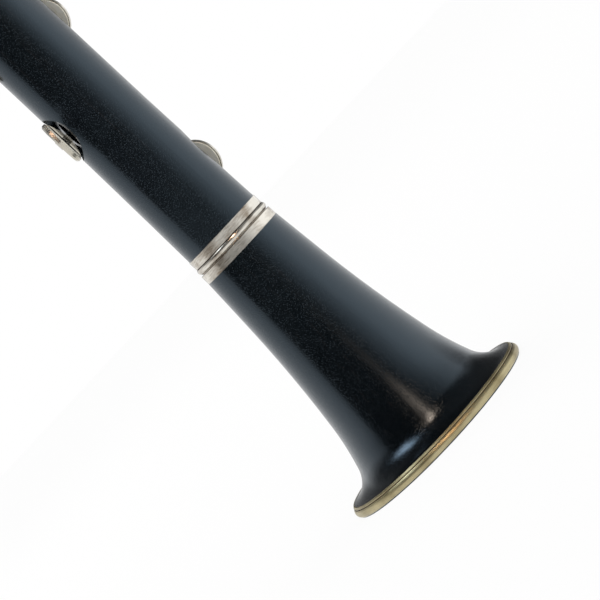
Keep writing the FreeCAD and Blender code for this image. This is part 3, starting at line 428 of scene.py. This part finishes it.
rest_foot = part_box("thumb_rest")[0][2] / MM
rest_plate_radius, rest_screw_rise = 15.65, 4.5
rest_head_radius, rest_head_height = 1.7, 0.7
rest_screws = bmesh.new()
for degrees, spin in ((170, 20), (190, 75)):
    slotted_head(rest_screws, rest_head_radius, rest_head_height,
                 on_bore(rest_plate_radius, degrees, rest_foot + rest_screw_rise),
                 on_bore(1, degrees, 0).normalized(), spin)
close_piece("thumb_rest_screws", rest_screws, "spring_steel", "root")

# %% [markdown]
# The heads of the ligature screws are knurled, so that fingers can turn them. A circle with every
# second point pulled in, and extruded along the screw, gives the ridges.

# %% Knurled heads
knurl_ridges, knurl_depth = 34, 0.16
knurl_cover, knurl_length, knurl_start = 0.06, 4.0, 4.5
for place in ("lower", "upper"):
    low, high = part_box("ligature_screw_" + place)
    centre = (Vector(low) + Vector(high)) / 2
    radius = (high[2] - low[2]) / 2
    knurl = bmesh.new()
    bmesh.ops.create_circle(knurl, cap_ends=True, segments=2 * knurl_ridges, radius=radius + knurl_cover * MM)
    inner = knurl.verts[:][::2]
    share = 1 - knurl_depth * MM / radius
    bmesh.ops.scale(knurl, vec=(share, share, 1), verts=inner)
    raised = bmesh.ops.extrude_face_region(knurl, geom=knurl.faces[:])["geom"]
    bmesh.ops.translate(knurl, vec=(0, 0, knurl_length * MM),
                        verts=[item for item in raised if isinstance(item, bmesh.types.BMVert)])
    head_start = Vector((high[0] - knurl_start * MM, centre.y, centre.z))
    bmesh.ops.transform(knurl, matrix=stand(head_start, Vector((1, 0, 0))), verts=knurl.verts)
    close_piece("ligature_knurl_" + place, knurl, "key_nickel", f"ligature_screw_{place}_body")

# %% [markdown]
# The thumb hole is lined with a metal bush that stands a little above its chimney. Its section is drawn
# once and spun about the axis of the hole.

# %% Thumb bush
def spun(shape, section, matrix, steps=40):
    """Spin a closed (radius, height) section about Z, then place it."""
    corners = [shape.verts.new((radius * MM, 0, height * MM)) for radius, height in section]
    edges = [shape.edges.new((corners[i - 1], corners[i])) for i in range(len(corners))]
    bmesh.ops.spin(shape, geom=corners + edges, cent=(0, 0, 0), axis=(0, 0, 1), angle=2 * math.pi,
                   steps=steps, use_merge=True)
    bmesh.ops.transform(shape, matrix=matrix, verts=shape.verts)


bush = bmesh.new()
back = Vector((0, 1, 0))
thumb_hole_height, thumb_chimney_top = 423.0, 16.0
spun(bush, ((3.86, -4.0), (3.86, 0.0), (4.5, 0.05), (4.4, 0.3), (3.7, 0.35), (3.4, 0.1), (3.4, -4.0)),
     stand(on_bore(thumb_chimney_top, 180, thumb_hole_height), back))
close_piece("thumb_bush", bush, "ring_nickel_silver", "root")

# %% [markdown]
# The floor is a large sheet of white paper. The camera and the polished parts see it nine tenths as
# plain white, and the last tenth keeps the clarinet's shadow.

# %% Floor
def make_paper():
    material, tree, shader = start_material("paper")
    shader.inputs["Base Color"].default_value = (0.98, 0.98, 0.98, 1)
    shader.inputs["Roughness"].default_value = 0.9
    rays = add(tree, "ShaderNodeLightPath")
    seen = calculate(tree, "MAXIMUM", rays.outputs["Is Camera Ray"], rays.outputs["Is Glossy Ray"])
    white_share = calculate(tree, "MULTIPLY", seen, 0.9)
    glow = add(tree, "ShaderNodeEmission", Color=(1, 1, 1, 1))
    mix = add(tree, "ShaderNodeMixShader")
    link(tree, white_share, mix.inputs[0], shader.outputs[0], mix.inputs[1], glow.outputs[0],
         mix.inputs[2], mix.outputs[0], tree.nodes["Material Output"].inputs["Surface"])
    return material


floor_radius = 6.0
floor_mesh = bpy.data.meshes.new("floor")
sheet = bmesh.new()
bmesh.ops.create_circle(sheet, cap_ends=True, segments=64, radius=floor_radius)
sheet.to_mesh(floor_mesh)
sheet.free()
floor_mesh.materials.append(make_paper())
floor = bpy.data.objects.new("floor", floor_mesh)
bpy.context.scene.collection.objects.link(floor)
print("floor of", floor_radius, "m")

# %% [markdown]
# Round black wood shows little of its own colour: what the eye sees is the room in its polish. Here
# the room is dark behind the camera and white on both sides. It turns white slowly towards the
# player's right and all at once towards the left, where a white board stands. The world is shaded by
# its direction round the bore, so the long reflections stay straight on every cylinder.

# %% Room
bpy.context.scene.view_settings.view_transform = "Standard"
world = bpy.data.worlds.new("studio")
bpy.context.scene.world = world
world.use_nodes = True
sky = world.node_tree
back = sky.nodes["Background"]
back.inputs["Strength"].default_value = 1.35
colours = "ShaderNodeVectorMath"


def on_ring(degrees):
    """A heading of -180 to 180 degrees, counted from behind, as a place on a ramp."""
    return (degrees + 180) / 360


towards = add(sky, "ShaderNodeTexCoord")
split = add(sky, "ShaderNodeSeparateXYZ")
link(sky, towards.outputs["Generated"], split.inputs[0])
turn = calculate(sky, "ARCTAN2", split.outputs["X"], split.outputs["Y"])
heading = calculate(sky, "MULTIPLY_ADD", turn, 1 / (2 * math.pi), 0.5)
room_tones = (
    (-180, 0.2), (-154, 0.9), (-112, 1.0), (-72, 0.92), (-44, 0.44), (-20, 0.09), (0, 0.03), (72, 0.02),
    (76, 0.45), (90, 0.62), (120, 0.74), (154, 0.85), (180, 0.2))
tones = grey_ramp(sky, heading, [(on_ring(degrees), tone) for degrees, tone in room_tones])
print("room with", len(room_tones), "tones")

# %% [markdown]
# The flare of the bell looks up, so it mirrors the ceiling. It is dark, and darkest over the camera,
# which gives the black wedge on the flare.

# %% Ceiling
rise = calculate(sky, "MULTIPLY_ADD", split.outputs["Z"], 0.5, 0.5)
ceiling_tones = ((0.0, 1.0), (0.62, 1.0), (0.72, 0.45), (0.80, 0.08), (1.0, 0.05))
ceiling = grey_ramp(sky, rise, ceiling_tones)
wall_turn, wall_depth = -0.5, -0.45
wall = calculate(sky, "MULTIPLY_ADD", split.outputs["X"], wall_turn, wall_depth)
past_wall = calculate(sky, "SUBTRACT", wall, split.outputs["Y"])
behind = calculate(sky, "MULTIPLY", past_wall, split.outputs["Z"])
back_wall = grey_ramp(sky, behind, ((0.04, 1), (0.09, 0.3), (0.2, 0.05)))
overhead = calculate(sky, "MINIMUM", ceiling, back_wall, kind=colours)
shaded = calculate(sky, "MULTIPLY", tones, overhead, kind=colours)
print("ceiling with", len(ceiling_tones), "tones")

# %% [markdown]
# Two bright patches high in the room leave the marks on the bell: a warm lamp draws a long streak, and
# a cool window a small oval. They are part of the world, so that only polish shows them and no pale
# piece near them is overlit.

# %% Lamp and window in the polish
def soft_window(room, headings, heights, colour):
    """Add a bright patch to the room between soft edges of heading and of height."""
    side = grey_ramp(sky, heading, zip(map(on_ring, headings), (0, 1, 1, 0)))
    tall = grey_ramp(sky, rise, [((height + 1) / 2, tone) for height, tone in heights])
    patch = calculate(sky, "MULTIPLY", side, tall, kind=colours)
    return calculate(sky, "MULTIPLY_ADD", patch, colour, room, kind=colours)


warm_heights = ((0.20, 0.0), (0.50, 0.18), (0.74, 0.45), (0.84, 1.0), (0.91, 1.0), (0.95, 0.0))
cool_heights = ((0.72, 0.0), (0.82, 1.0), (0.92, 1.0), (0.97, 0.0))
lit = soft_window(shaded, (-17, -12, -7, -2), warm_heights, (15.0, 9.8, 6.8))
lit = soft_window(lit, (48, 64, 84, 100), cool_heights, (3.2, 3.6, 4.0))
link(sky, lit, back.inputs["Color"])
print("lamp and window ready")

# %% [markdown]
# Only mirrored rays see that room. The camera sees plain white, and everything else is lit by one even
# level, so that each colour comes out about as it is written.

# %% Who sees what
white = (1, 1, 1, 1)
even_light = add(sky, "ShaderNodeBackground", Color=white, Strength=0.9)
white_paper = add(sky, "ShaderNodeBackground", Color=white, Strength=1.0)
rays = add(sky, "ShaderNodeLightPath")
mirrored, either = add(sky, "ShaderNodeMixShader"), add(sky, "ShaderNodeMixShader")
link(sky, rays.outputs["Is Glossy Ray"], mirrored.inputs[0], even_light.outputs[0], mirrored.inputs[1],
     back.outputs[0], mirrored.inputs[2], rays.outputs["Is Camera Ray"], either.inputs[0],
     mirrored.outputs[0], either.inputs[1], white_paper.outputs[0], either.inputs[2],
     either.outputs[0], sky.nodes["World Output"].inputs["Surface"])
print("world ready")

# %% [markdown]
# One broad soft lamp stands high on the keyed side. It is faint, because the room already lights every
# colour about as it is written, and it gives the key work its small shadows.

# %% Lamp
lamp_place, lamp_target = Vector((0.9, -1.3, 1.5)), Vector((0, 0, 0.3))
lamp_width, lamp_watts = 0.9, 6.0
lamp = bpy.data.lights.new("soft_lamp", "AREA")
lamp.shape = "RECTANGLE"
lamp.size = lamp.size_y = lamp_width
lamp.energy = lamp_watts
lamp_stand = bpy.data.objects.new("soft_lamp", lamp)
lamp_stand.location = lamp_place
lamp_stand.rotation_euler = (lamp_target - lamp_place).to_track_quat("-Z", "Y").to_euler()
lamp_stand.visible_glossy = False
bpy.context.scene.collection.objects.link(lamp_stand)
print("lamp of", lamp_watts, "W")
